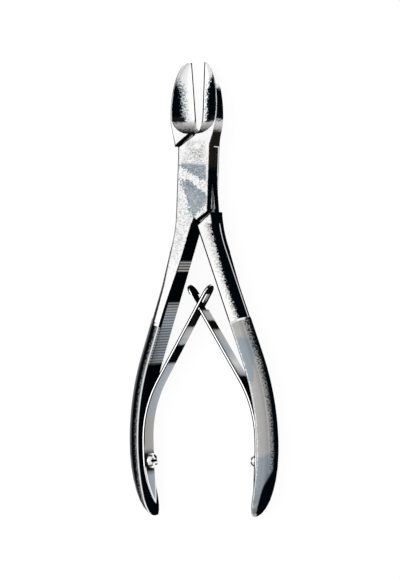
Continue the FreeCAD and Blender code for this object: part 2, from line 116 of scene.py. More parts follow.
# %% Shader maths
class Field:
    """One value or colour that varies over a surface, held as the output of a node."""

    def __init__(self, tree, socket):
        self.tree = tree
        self.socket = socket

    def node(self, kind, inputs, output=0, **settings):
        made = self.tree.nodes.new(kind)
        stops = settings.pop("stops", None)
        for name, value in settings.items():
            setattr(made, name, value)
        if stops:
            ramp = made.color_ramp
            while len(ramp.elements) < len(stops):
                ramp.elements.new(0.5)
            for element, (place, colour) in zip(ramp.elements, stops):
                element.position = place
                element.color = (*colour, 1)
        for name, value in inputs.items():
            if isinstance(value, Field):
                self.tree.links.new(value.socket, made.inputs[name])
            else:
                made.inputs[name].default_value = value
        return Field(self.tree, made.outputs[output])

    def maths(self, operation, first, second=0.0):
        return self.node("ShaderNodeMath", {0: first, 1: second}, operation=operation)

    def __add__(self, other):
        return self.maths("ADD", self, other)

    def __radd__(self, other):
        return self.maths("ADD", other, self)

    def __sub__(self, other):
        return self.maths("SUBTRACT", self, other)

    def __rsub__(self, other):
        return self.maths("SUBTRACT", other, self)

    def __mul__(self, other):
        return self.maths("MULTIPLY", self, other)

    def __rmul__(self, other):
        return self.maths("MULTIPLY", other, self)

    def size(self):
        return self.maths("ABSOLUTE", self)

    def least(self, other):
        return self.maths("MINIMUM", self, other)

    def most(self, other):
        return self.maths("MAXIMUM", self, other)

    def between(self, low, high):
        """0 at low and 1 at high with a smooth rise, or a fall where low is the larger."""
        limits = {"Value": self, "From Min": low, "From Max": high}
        return self.node("ShaderNodeMapRange", limits, interpolation_type="SMOOTHSTEP")

    def band(self, start, end, soft):
        """1 between start and end, 0 outside, with soft edges."""
        return self.between(start - soft, start + soft) * self.between(end + soft, end - soft)

    def blended(self, first, second):
        """A colour that goes from first to second as this value goes from 0 to 1."""
        colours = {0: self}
        for place, colour in ((6, first), (7, second)):
            colours[place] = colour if isinstance(colour, Field) else (*colour, 1)
        return self.node("ShaderNodeMix", colours, output=2, data_type="RGBA")


def noise(place, scale, detail=2.0):
    """Smooth noise whose lumps are about one over scale millimetres wide."""
    settings = {"Vector": place, "Scale": scale, "Detail": detail, "Roughness": 0.55}
    return place.node("ShaderNodeTexNoise", settings)


def new_surface(name):
    """A material with its main shader, its place in millimetres and its own normal."""
    material = bpy.data.materials.new(name)
    material.use_nodes = True
    tree = material.node_tree
    shader = tree.nodes["Principled BSDF"]
    coordinates = tree.nodes.new("ShaderNodeTexCoord")
    place = Field(tree, coordinates.outputs["Object"])
    place = place.node("ShaderNodeVectorMath", {0: place, "Scale": 1 / MM}, operation="SCALE")
    normal = Field(tree, coordinates.outputs["Normal"])
    return material, shader, place, normal


def connect(shader, **fields):
    """Links fields to the shader's sockets, named with underscores for spaces."""
    for name, field in fields.items():
        field.tree.links.new(field.socket, shader.inputs[name.replace("_", " ")])


def axes(vector):
    parts = vector.node("ShaderNodeSeparateXYZ", {"Vector": vector})
    sockets = parts.socket.node.outputs
    return [Field(vector.tree, socket) for socket in sockets]


# %% [markdown]
# The studio is plain: a near-white floor under the part, an even pale surrounding and one
# large soft lamp above. Polished steel only shows its shape if it has something dark to
# mirror, so a low dark card stands all round, outside the picture, as it would in a
# photographer's light tent.

# %% Studio
FLOOR_RADIUS = 3.0
CARD_RADIUS = 0.9
CARD_HEIGHT = 0.42
PALE_SHARE = 0.86


def add_object(name, points, faces, smooth=True):
    mesh = bpy.data.meshes.new(name)
    mesh.from_pydata([tuple(p) for p in points], [], [tuple(int(i) for i in f) for f in faces])
    mesh.polygons.foreach_set("use_smooth", [smooth] * len(mesh.polygons))
    mesh.update()
    piece = bpy.data.objects.new(name, mesh)
    bpy.context.scene.collection.objects.link(piece)
    return piece


def grid_faces(rows, columns, wrap):
    """Quads of a grid of points, row by row; wrap joins the last column to the first."""
    last = columns if wrap else columns - 1
    row, column = np.meshgrid(np.arange(rows - 1), np.arange(last), indexing="ij")
    here = row * columns + column
    beside = row * columns + (column + 1) % columns
    return np.stack([here, beside, beside + columns, here + columns], axis=-1).reshape(-1, 4)


corners = np.array([(-1, -1, 0), (1, -1, 0), (1, 1, 0), (-1, 1, 0)]) * FLOOR_RADIUS
floor = add_object("floor", corners - (0, 0, 0.05 * MM), [(0, 1, 2, 3)])
around = np.linspace(0, 2 * math.pi, 48, endpoint=False)
ring = np.stack([np.cos(around), np.sin(around), 0 * around], axis=-1) * CARD_RADIUS
card = add_object("dark_card", np.concatenate([ring, ring + (0, 0, CARD_HEIGHT)]), grid_faces(2, 48, True))
card.visible_camera = False
card.visible_shadow = False
card.visible_diffuse = False
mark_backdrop(floor, card)

floor_paint, shader, place, normal = new_surface("floor_paint")
shader.inputs["Base Color"].default_value = (0.86, 0.86, 0.86, 1)
shader.inputs["Roughness"].default_value = 0.9
shader.inputs["Specular IOR Level"].default_value = 0.0
rays = place.node("ShaderNodeLightPath", {}).socket.node.outputs
seen = [Field(place.tree, rays[kind]) for kind in ("Is Camera Ray", "Is Glossy Ray", "Is Transmission Ray")]
glow = place.node("ShaderNodeEmission", {"Color": (1, 1, 1, 1), "Strength": 1.06})
share = seen[0].most(seen[1]).most(seen[2]) * PALE_SHARE
painted = Field(place.tree, shader.outputs["BSDF"])
mixed = place.node("ShaderNodeMixShader", {0: share, 1: painted, 2: glow})
floor_end = place.tree.nodes["Material Output"].inputs["Surface"]
place.tree.links.new(mixed.socket, floor_end)
floor.data.materials.append(floor_paint)
card_paint, shader, place, normal = new_surface("card_paint")
shader.inputs["Base Color"].default_value = (0.004, 0.004, 0.005, 1)
shader.inputs["Roughness"].default_value = 1.0
shader.inputs["Specular IOR Level"].default_value = 0.0
card.data.materials.append(card_paint)

world = bpy.data.worlds.new("pale_surround")
world.use_nodes = True
world.node_tree.nodes["Background"].inputs["Strength"].default_value = 0.8
world.node_tree.nodes["Background"].inputs["Color"].default_value = (1, 1, 1, 1)
bpy.context.scene.world = world

lamp_data = bpy.data.lights.new("soft_lamp", "AREA")
lamp_data.shape = "RECTANGLE"
lamp_data.size = 0.7
lamp_data.size_y = 0.9
lamp_data.energy = 2.2
lamp = bpy.data.objects.new("soft_lamp", lamp_data)
lamp.location = (-0.45, 0.15, 0.95)
lamp.rotation_euler = (Vector((0, -0.04, 0)) - lamp.location).to_track_quat("-Z", "Y").to_euler()
bpy.context.scene.collection.objects.link(lamp)

# %% [markdown]
# The levers, the pin and the screws keep the exact shape of their solids. Their meshes come
# as loose flat triangles, which would show as facets in steel, so each is copied, its
# triangles are merged along their edges, and faces that meet at a small angle are shaded as
# one curved surface. Edges sharper than that stay crisp.

# %% Smooth copies of the solids
SHARP_FROM = math.radians(24)
MERGE_WITHIN = 0.0005 * MM


def smooth_copy(node, name):
    """A welded copy of a solid's mesh, smooth except along its sharp edges."""
    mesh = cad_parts[node].data.copy()
    mesh.name = name
    mesh.materials.clear()
    shape = bmesh.new()
    shape.from_mesh(mesh)
    bmesh.ops.remove_doubles(shape, verts=shape.verts, dist=MERGE_WITHIN)
    shape.to_mesh(mesh)
    shape.free()
    for attribute in ("custom_normal", "sharp_face"):
        if attribute in mesh.attributes:
            mesh.attributes.remove(mesh.attributes[attribute])
    mesh.polygons.foreach_set("use_smooth", [True] * len(mesh.polygons))
    mesh.set_sharp_from_angle(angle=SHARP_FROM)
    piece = bpy.data.objects.new(name, mesh)
    bpy.context.scene.collection.objects.link(piece)
    print(name, "from", node, "with", len(mesh.polygons), "triangles")
    return piece


COPIES = {
    "female_lever_shell": ("female_lever", "female", "lever_steel"),
    "male_lever_shell": ("male_lever", "male", "lever_steel"),
    "pin_ends": ("joint_pin", "female", "pin_steel"),
    "left_screw_head": ("left_leaf_screw", "female", "screw_steel"),
    "right_screw_head": ("right_leaf_screw", "male", "screw_steel"),
}
copies = {}
for name, (node, body, slot) in COPIES.items():
    copies[name] = smooth_copy(node, name)
    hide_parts(node)
    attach(copies[name], body)

# %% [markdown]
# Each leaf spring is one bent strip of spring steel, screwed to a handle at its foot. The
# solids split it at a hinge, because a solid can't bend. Here the strip is whole: a centre
# line made of two arcs and a straight, a rounded oblong section carried along it, and a
# width that follows the outline of the real leaf.

# %% Handle and leaf lines
JAW_REACH = 45.8
TAPER_AT = 14.0
TIP_FRONT = 6.0
PLATE = 3.1
FORK_Y = -17.3
OPEN_HALF = math.radians(3.3)
SHANK_LEAN = math.radians(15.7)
SHANK_RUN = 55.8
HANDLE_BOW = 102.0
GRIP_AT = 41.0
LEAF_THICK = 1.0
LEAF_SEAT_GAP = 0.02
LEAF_CORNER = 0.22
TIP_WIDTH = 7.2
FOOT_WIDTH = 9.2
LEAN = math.radians(31.2)
CROSSING_Y = -49.0
TIP_PAST = 9.1
LIFT_AT = 86.5
FOOT_RUN = 27.0
FOOT_OGIVE = 15.0
SCREW_AT = 96.3

open_lean = SHANK_LEAN + OPEN_HALF
bow_start = np.array([SHANK_RUN * math.sin(SHANK_LEAN), FORK_Y - SHANK_RUN * math.cos(SHANK_LEAN)])
closed_centre = bow_start - HANDLE_BOW * np.array([math.cos(SHANK_LEAN), math.sin(SHANK_LEAN)])
cos_open = math.cos(OPEN_HALF)
sin_open = math.sin(OPEN_HALF)
opening_turn = np.array([[cos_open, -sin_open], [sin_open, cos_open]])
BOW_CENTRE = opening_turn @ closed_centre
BOW_RADIUS = HANDLE_BOW - LEAF_SEAT_GAP - LEAF_THICK / 2
LIFT_ANGLE = open_lean - (LIFT_AT - SHANK_RUN) / HANDLE_BOW
print("centre of the right handle's bow", BOW_CENTRE.round(2))


def leaf_bend():
    """Radius and centre of the free bend, tangent to the bow and to the straight part."""
    lift = BOW_CENTRE + BOW_RADIUS * np.array([math.cos(LIFT_ANGLE), math.sin(LIFT_ANGLE)])
    towards = np.array([-math.cos(LEAN), -math.sin(LEAN)])
    gap = np.dot(lift - (0, CROSSING_Y), towards)
    pull = np.dot((-math.cos(LIFT_ANGLE), -math.sin(LIFT_ANGLE)), towards)
    radius = gap / (1 - pull)
    return radius, lift - radius * np.array([math.cos(LIFT_ANGLE), math.sin(LIFT_ANGLE)])


def leaf_line(run):
    """Places and outward normals at runs from the lift point, negative along the foot.

    Below the lift point the line is an arc about the handle's bow. Above it, it is an arc
    of the free bend, until its direction reaches the lean of the straight part.
    """
    radius, centre = leaf_bend()
    bend_run = radius * (LEAN - LIFT_ANGLE)
    angle = np.where(run < 0, LIFT_ANGLE + run / (BOW_RADIUS + LEAF_THICK), LIFT_ANGLE + run / radius)
    angle = np.minimum(angle, LEAN)
    outward = np.stack([np.cos(angle), np.sin(angle)], axis=-1)
    on_bow = BOW_CENTRE + BOW_RADIUS * outward
    on_bend = centre + radius * outward
    line = np.where(run[:, None] < 0, on_bow, on_bend)
    past = np.maximum(run - bend_run, 0)[:, None]
    return line + past * np.stack([-np.sin(angle), np.cos(angle)], axis=-1), outward


# %% [markdown]
# The strip is a grid of points: one row for each place along the line, one column for each
# point of the oblong section. Its rows stand closer together near both ends, where the
# outline is round. Two UV maps keep each point's place in the section and the width there,
# so that the painted highlights and painted shade can follow the outline.

# %% Leaf strip


def half_width(y, tip_y, end_y):
    """Half of the leaf's width: an oval tip, a slow widening and a pointed ogive foot."""
    tip_half = TIP_WIDTH / 2
    foot_half = FOOT_WIDTH / 2
    round_y = tip_y - tip_half * math.cos(LEAN)
    ogive_y = end_y + FOOT_OGIVE
    oval = tip_half * np.sqrt(np.clip(1 - ((y - round_y) / (tip_y - round_y)) ** 2, 0, 1))
    widening = tip_half + (foot_half - tip_half) * (round_y - y) / (round_y - ogive_y)
    t = np.linspace(0, 1, 60)
    poles_y = (end_y, end_y, ogive_y - 0.6 * FOOT_OGIVE, ogive_y)
    poles_z = (0, 0.6, 0.9 * foot_half, foot_half)
    weights = ((1 - t) ** 3, 3 * t * (1 - t) ** 2, 3 * t * t * (1 - t), t ** 3)
    curve_y = sum(w * p for w, p in zip(weights, poles_y))
    curve_z = sum(w * p for w, p in zip(weights, poles_z))
    ogive = np.interp(y, curve_y, curve_z)
    return np.where(y > round_y, oval, np.where(y < ogive_y, ogive, widening))


def leaf_piece(name, side):
    """A whole leaf. Side 1 stands on the right handle, side -1 is its mirror image.

    The section is an oblong with round corners. Its points are given by an angle round
    the section, and each row of the grid is that oblong at one place along the line.
    """
    radius = leaf_bend()[0]
    straight_start = radius * (LEAN - LIFT_ANGLE)
    at_start = leaf_line(np.array([straight_start]))[0][0]
    tip = np.array([-math.sin(LEAN), math.cos(LEAN)]) * TIP_PAST + (0, CROSSING_Y)
    length = straight_start + np.linalg.norm(tip - at_start)
    rows = 260
    spread = np.linspace(-1, 1, rows)
    run = (length + FOOT_RUN) / 2 * (spread + 0.26 * np.sin(math.pi * spread)) + (length - FOOT_RUN) / 2
    line, outward = leaf_line(run)
    width = half_width(line[:, 1], line[-1, 1], line[0, 1])
    corner = np.minimum(LEAF_CORNER, width * 0.9)[:, None]
    sweep = np.linspace(0, math.pi / 2, 4)
    corner_angle = np.concatenate([sweep + k * math.pi / 2 for k in range(4)])[None, :]
    signs = np.repeat([(1, 1), (-1, 1), (-1, -1), (1, -1)], 4, axis=0)
    across = signs[None, :, 0] * (LEAF_THICK / 2 - corner) + corner * np.cos(corner_angle)
    up = signs[None, :, 1] * np.maximum(width[:, None] - corner, 0) + corner * np.sin(corner_angle)
    x = side * (line[:, 0, None] + outward[:, 0, None] * across)
    y = line[:, 1, None] + outward[:, 1, None] * across
    points = np.stack([x, y, DEPTH / 2 + up], axis=-1) * MM
    columns = points.shape[1]
    faces = [tuple(face) for face in grid_faces(rows, columns, True)]
    faces.append(tuple(range(columns)))
    faces.append(tuple(range((rows - 1) * columns, rows * columns)))
    piece = add_object(name, points.reshape(-1, 3), faces)
    half = np.repeat(width[:, None], columns, axis=1)
    corner_points = np.zeros(len(piece.data.loops), dtype=int)
    piece.data.loops.foreach_get("vertex_index", corner_points)
    for layer_name, first, second in (("section", up, across), ("width", half, half)):
        pairs = np.stack([first, second], axis=-1).reshape(-1, 2)
        layer = piece.data.uv_layers.new(name=layer_name)
        layer.data.foreach_set("uv", pairs[corner_points].ravel())
    shape = bmesh.new()
    shape.from_mesh(piece.data)
    bmesh.ops.remove_doubles(shape, verts=shape.verts, dist=MERGE_WITHIN)
    bmesh.ops.recalc_face_normals(shape, faces=shape.faces)
    shape.to_mesh(piece.data)
    shape.free()
    return piece


# %% [markdown]
# The left leaf has a closed slot near its tip, and the right leaf has a narrow neck that
# passes through it. Both are windows cut in the finished strip, so their corners are crisp.

# %% Slot and neck


def cut_out(piece, low, high):
    """Cuts a straight-sided window between two corners, in millimetres."""
    corners = np.array([(x, y, z) for x in (low[0], high[0]) for y in (low[1], high[1])
                        for z in (low[2], high[2])]) * MM
    sides = [(0, 1, 3, 2), (4, 6, 7, 5), (0, 4, 5, 1), (2, 3, 7, 6), (0, 2, 6, 4), (1, 5, 7, 3)]
    cutter = add_object("cutter", corners, sides, smooth=False)
    modifier = piece.modifiers.new("window", "BOOLEAN")
    modifier.object = cutter
    modifier.operation = "DIFFERENCE"
    modifier.solver = "EXACT"
    view_layer = bpy.context.view_layer
    view_layer.update()
    cut = bpy.data.meshes.new_from_object(piece.evaluated_get(view_layer.depsgraph))
    piece.modifiers.clear()
    piece.data = cut
    bpy.data.objects.remove(cutter)


FALL = math.cos(LEAN)
MIDDLE = DEPTH / 2
FAR = 60
SLOT = {"half": 1.9, "below": 1.9, "above": 5.0}
NECK = {"half": 1.6, "below": 2.1, "above": 4.9}

left_leaf = leaf_piece("left_leaf", -1)
slot_low = (-FAR, CROSSING_Y - SLOT["below"] * FALL, MIDDLE - SLOT["half"])
slot_high = (FAR, CROSSING_Y + SLOT["above"] * FALL, MIDDLE + SLOT["half"])
cut_out(left_leaf, slot_low, slot_high)
right_leaf = leaf_piece("right_leaf", 1)
neck_low = CROSSING_Y - NECK["below"] * FALL
neck_high = CROSSING_Y + NECK["above"] * FALL
cut_out(right_leaf, (-FAR, neck_low, MIDDLE + NECK["half"]), (FAR, neck_high, DEPTH + 1))
cut_out(right_leaf, (-FAR, neck_low, -1), (FAR, neck_high, MIDDLE - NECK["half"]))

for leaf, lever, blade, side in ((left_leaf, "female", "left", -1), (right_leaf, "male", "right", 1)):
    leaf.data.polygons.foreach_set("use_smooth", [True] * len(leaf.data.polygons))
    leaf.data.set_sharp_from_angle(angle=SHARP_FROM * 1.6)
    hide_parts(blade + "_leaf_foot", blade + "_leaf_blade")
    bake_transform(leaf)
    print(leaf.name, len(leaf.data.polygons), "faces")

# %% [markdown]
# Steel looks white where it mirrors the bright surround and black where it mirrors
# something dark, and these levers show both at once: bright front faces with a fine satin
# grain, and sides that are nearly black with thin bright edges. Here that light and shade is
# painted into the levers' colour: painted black shade, painted reflections and painted
# highlights, laid out in the levers' own coordinates. Three distances are worked out from
# the place of a point: how far out of the jaw's cutting edge it is, how far along a handle
# it is, and how far out of the handle's inner face it is.

# %% Coordinates on the levers
# Tones of the painted shade, painted reflections and painted highlights on the steel.
BLACK = (0.001, 0.003, 0.005)
BROWN_BLACK = (0.016, 0.014, 0.012)
WHITE = (0.98, 0.98, 0.98)
PALE = (0.72, 0.72, 0.72)
LIGHT_GREY = (0.50, 0.495, 0.49)
WARM_GREY = (0.40, 0.39, 0.38)
BLUE_GREY = (0.36, 0.41, 0.45)
DARK_GREY = (0.10, 0.10, 0.11)
WINDOW_REFLECTION_GREY = (0.25, 0.31, 0.355)


def along(value, *stops):
    """A colour that follows a value in millimetres through stops of (millimetres, colour)."""
    first = stops[0][0]
    last = stops[-1][0]
    share = (value - first) * (1 / (last - first))
    placed = [((at - first) / (last - first), colour) for at, colour in stops]
    return value.node("ShaderNodeValToRGB", {"Fac": share}, stops=placed)


def jaw_reach(x, y):
    """Distance out of a jaw's cutting edge, once both jaws are turned back to closed."""
    return x.size() * cos_open - y * sin_open


def handle_reach(x, y):
    """Run down a handle from its fork, and distance out of its inner face.

    On the straight shank both are measured along fixed directions. On the bow they are the
    angle and the distance from the centre of the bow.
    """
    across = x.size() - float(BOW_CENTRE[0])
    down = float(BOW_CENTRE[1]) - y
    c = math.cos(open_lean)
    s = math.sin(open_lean)
    straight_run = across * s + down * c
    straight_out = across * c - down * s - HANDLE_BOW
    distance = across.node("ShaderNodeVectorMath", {0: combine(across, down)}, output=1, operation="LENGTH")
    angle = across.maths("ARCTAN2", down, across)
    bow_run = (angle + open_lean) * HANDLE_BOW
    on_bow = straight_run.between(-0.5, 0.5)
    run = SHANK_RUN + straight_run * (1 - on_bow) + bow_run * on_bow
    out = straight_out * (1 - on_bow) + (distance - HANDLE_BOW) * on_bow
    return run, out


def combine(x, y):
    return x.node("ShaderNodeCombineXYZ", {"X": x, "Y": y, "Z": 0.0})


def scaled(colour, amount):
    return colour.node("ShaderNodeVectorMath", {0: colour, "Scale": amount}, operation="SCALE")


def edge_lines(place, reach, first, full):
    """1 close to a sharp edge: there the normal of a softened edge leaves the true normal.

    The line begins where the two normals agree less than first, and is full from full on.
    """
    softened = place.node("ShaderNodeBevel", {"Radius": reach * MM}, samples=8)
    true = place.node("ShaderNodeNewGeometry", {}, output=3)
    agreement = place.node("ShaderNodeVectorMath", {0: softened, 1: true}, output=1, operation="DOT_PRODUCT")
    return agreement.between(first, full)


def link_painted_steel(shader, place, colour, shine, heights, depth, matt=0.0):
    """Links a finish. Painted black shade is made less metallic, so that it stays black at a slant.

    Where matt is 1 the steel scatters light, so that a thin painted highlight stays bright from all sides.
    """
    tone = colour.node("ShaderNodeRGBToBW", {"Color": colour})
    soft_edge = place.node("ShaderNodeBevel", {"Radius": 0.14 * MM}, samples=6)
    relief = {"Height": heights, "Strength": depth, "Distance": 0.06 * MM, "Normal": soft_edge}
    bump = place.node("ShaderNodeBump", relief)
    shader.inputs["Specular IOR Level"].default_value = 0.0
    polish = tone.between(0.01, 0.09) * (1 - matt)
    connect(shader, Base_Color=colour, Roughness=shine, Normal=bump, Metallic=polish)


# %% [markdown]
# The front of the box plate is a satin white with soft warm mottling near the jaws, and two
# slanting blue-grey patches are a painted reflection of a window, as ground steel shows one.
# The jaws are hollow ground, and their shading is painted: the outer wall of each hollow is
# painted black shade, and a painted stippled grey leads to the white of the cutting edge.
# Noise added to a distance before it meets a threshold gives that stippled border, because
# each grain then falls on one side or the other.

# %% Jaws and box plate
FRONT_FALL = (DEPTH - TIP_FRONT) / (JAW_REACH - TAPER_AT)


def painted_hollow_shading(x, y, z, upright, stipple):
    """Painted shading of the hollows in front of the cutting edges, and a mask of where they are."""
    reach = jaw_reach(x, y)
    right = x.between(-0.2, 0.2)
    grains = (stipple - 0.5) * 1.3
    towards_tip = y.between(34, 45)
    black_from = 5.3 - right * 3.3 + towards_tip * 3.2
    # Painted shade: the hollow's outer wall is painted black, with a painted blue-grey half tone before the
    # white at the cutting edge.
    wall = (reach + grains).between(black_from - 0.3, black_from + 0.3)
    half_tone = (reach + grains * 2.0).between(black_from - 1.7 + right, black_from - 0.9 + right * 0.6)
    colour = half_tone.blended(WHITE, BLUE_GREY)
    colour = wall.blended(colour, BLACK)
    # Painted reflection: a brown-black band across the hollow.
    brown = y.band(22.6, 24.6, 0.4) * (reach + grains * 0.4).between(3.6, 4.6)
    colour = brown.blended(colour, BROWN_BLACK)
    # Painted shade: a dark line along the cutting edge, and a heel that goes from black to pale.
    heel = (y + grains * 0.6).between(22.8, 22.0)
    colour = reach.between(0.55, 0.4).blended(colour, BLACK)
    heel_colour = along(y + grains * 1.2, (17.4, BLACK), (18.9, BROWN_BLACK), (19.9, WARM_GREY), (22.0, PALE))
    colour = heel.blended(colour, heel_colour)
    front = DEPTH - (y - TAPER_AT) * FRONT_FALL
    sunk = (front - z).between(0.12, 0.3) * y.between(17.0, 17.8) * upright.between(0.02, 0.1)
    inside = reach.between(8.3, 8.1) * reach.between(0.0, 0.04)
    return colour, sunk * inside


def plate_colour(x, y, stipple, cloud):
    """Mottled front of the box and the jaws' heels, with two patches of painted window reflection."""
    grains = stipple - 0.5
    mottle = y.band(6.5, 14.5, 2.0) * x.band(-2.5, 5.0, 2.0) * cloud.between(0.3, 0.55)
    colour = (mottle * (0.08 + stipple * 0.95)).blended(WHITE, WARM_GREY)
    fleck = y.between(14.5, 5.0).most(y.between(-9, -14)) * stipple.between(0.45, 0.9) * 0.5
    colour = fleck.blended(colour, WARM_GREY)
    # Painted reflection of a window: two slanting blue-grey patches.
    upper = (y + x * 0.1 + grains).between(6.4, 5.6) * (y + x * 0.62 + grains * 1.6).between(1.2, 2.2)
    upper = upper * (y + grains).between(-0.9, -0.1) * (x + grains).between(-6.0, -4.6)
    below = -0.3 - (x + 2).most(0.0) * 0.75 - y
    lower = (below + grains).between(-0.4, 0.4) * (x + 4.9 + (y + 2) * 0.3 + grains * 1.6).between(-0.4, 0.6)
    lower = lower * (y + 9.0 + (5.9 - x) * 1.05 + grains * 1.6).between(-0.6, 0.8)
    depth = 0.9 + below.between(3.2, 1.6) * 0.1
    window_reflection = upper.most(lower * depth) * (x + grains * 0.8).between(5.9, 5.3)
    return (window_reflection * (0.7 + stipple * 0.3)).blended(colour, WINDOW_REFLECTION_GREY)


# %% [markdown]
# A handle is a plain shank, then a grip behind a small step. The two handles are painted
# differently, because the camera sees the inner side of the left one and the outer side of
# the right one: the left grip is painted black shade with one painted bright ridge, and the
# right grip is a stippled grey that goes to painted black shade on its outer round.

# %% Shanks and grips


def painted_shank_shading(run, out, right, stipple, z, upright):
    """White front strip of a shank, between painted dark shade on its inner side and on its outer round."""
    grains = (stipple - 0.5) * 1.2
    inner = run.between(4, 40) * 1.3 * (1 - right)
    outer = 5.7 - run.between(-6, 42) * 2.2 - right * (0.3 - run.between(20, 42) * 0.9)
    outer = outer + run.between(12, -8) * 3.0 * (1 - right)
    strip = out.between(inner - 0.1, inner + 0.1) * (out + grains * right).between(outer + 0.3, outer - 0.3)
    strip = strip * upright.between(0.4, 0.6)
    # Painted shade: stippled grey going to black on the right shank's outer round.
    soft = (out + grains * 1.7).between(outer - 2.6, outer + 0.4) * right
    fleck = stipple.between(0.35, 0.9) * run.between(30, 8) * (1 - right) * 0.5
    colour = (soft * 0.8).most(fleck).blended(WHITE, WARM_GREY)
    # Painted shade: a dark line on the right shank's inner edge, and sides painted black, the right one with
    # a painted highlight streak.
    colour = (out.between(0.6, 0.45) * right).blended(colour, BLACK)
    highlight_streak = along(z, (0.0, BLACK), (3.3, BLACK), (3.6, PALE), (4.0, PALE), (4.3, BLACK), (DEPTH, BLACK))
    plain = right.blended(BLACK, highlight_streak)
    return strip.blended(plain, colour)


def painted_inner_reflections(y, stipple):
    """Horizontal reflections down the left handle's inner side."""
    wave = y.node("ShaderNodeMath", {0: y * (2 * math.pi / 1.05)}, operation="SINE") * 0.5 + 0.5
    tone = wave.blended(DARK_GREY, BLUE_GREY)
    warm = wave.blended(BROWN_BLACK, WARM_GREY)
    lit = y.band(-71.5, -48.0, 1.0) + y.band(-36.0, -31.6, 0.2)
    colour = y.between(-50.5, -49.0).blended(tone, warm)
    return (lit * (0.75 + stipple * 0.3)).blended(BLACK, colour)


def painted_grip_shading(out, right, stipple, cloud, x, y, turned):
    """Right grip: stippled greys of painted reflection that go to painted black shade outside. Left grip:
    painted black shade with a pale painted sheen.
    """
    grains = (stipple - 0.5) * 1.5
    # Painted reflections: light grey and blue-grey patches down the right grip.
    level = y + 1.0 - out * 0.3 + (cloud - 0.5) * 2 + grains * 0.5
    patches = along(level, (-131.0, LIGHT_GREY), (-126.0, LIGHT_GREY), (-125.4, BLUE_GREY),
                    (-107.6, BLUE_GREY), (-106.8, LIGHT_GREY), (-50.0, LIGHT_GREY))
    top = (x + grains * 0.5).between(24.3, 23.9) * (y + grains).band(-79.0, -61.6, 0.3)
    patches = top.blended(patches, BLUE_GREY)
    shaded = scaled(patches, (stipple - 0.5) * 0.22 + 1.0 + out.between(4.6, 5.0) * 0.6)
    # Painted highlight on the right grip's inner edge, and painted black shade on its outer round and nose.
    pale_edge = (out + grains * 0.4).between(1.0, 0.4) * 0.8
    shaded = pale_edge.blended(shaded, WHITE)
    nose = y.between(-112, -122) * 0.38
    black = (out + grains * 0.7).between(5.1, 6.5).most((turned + nose).between(0.78, 0.95))
    right_side = black.blended(shaded, BLACK)
    # Painted sheen: a pale band near the left grip's inner edge, on painted black.
    glow = (out + grains * 0.6).between(2.9, 1.6) * out.between(1.4, 1.6) * 0.4
    left_side = glow.blended(BLACK, PALE)
    return right.blended(left_side, right_side)


# %% [markdown]
# The lever's painted colour joins these parts by masks. The sides that the camera doesn't
# see get a painted sheen, pale in the middle and darker to the top and bottom. Painted
# highlights mark the ridge of the left grip, the step of the right one and the slot in the
# box's side. Painted dark lines round the front faces come from the Bevel node: where its
# softened normal leaves the true one, an edge is near.

# %% Lever steel
def painted_side_highlights(y, z):
    """Painted highlights on the box's right side: bright lines of a hooked slot, a streak and a narrow wedge.
    """
    hook = y.band(12.35, 12.65, 0.06) * z.band(2.5, 6.9, 0.1)
    shaft = z.band(2.15, 2.95, 0.06) * y.band(1.0, 12.6, 0.3)
    highlight_streak = z.band(1.5, 2.6, 0.1) * y.band(-9.0, 1.5, 1.0) * 0.6
    wedge_half = (-1.7 - y) * 0.045
    from_plate = (z - (DEPTH - PLATE)).size()
    wedge = (wedge_half - from_plate).between(0.0, 0.08) * y.between(-11.8, -11.4)
    return hook.most(shaft).most(highlight_streak).most(wedge)


def painted_edge_shade(place, x, y, upright):
    """Painted shade: dark lines along the edges of the front faces, but not round the pin."""
    from_pin = x.node("ShaderNodeVectorMath", {0: combine(x, y)}, output=1, operation="LENGTH")
    on_jaw = y.between(16.5, 17.5)
    on_box = y.band(-15.0, 16.5, 0.5)
    first = 0.995 + on_box * 0.003 - on_jaw * 0.01
    full = 0.95 + on_box * 0.035 - on_jaw * 0.05
    outline = edge_lines(place, 0.7, first, full) * upright.between(0.85, 0.95)
    return outline * (1 - from_pin.between(4.0, 3.8))


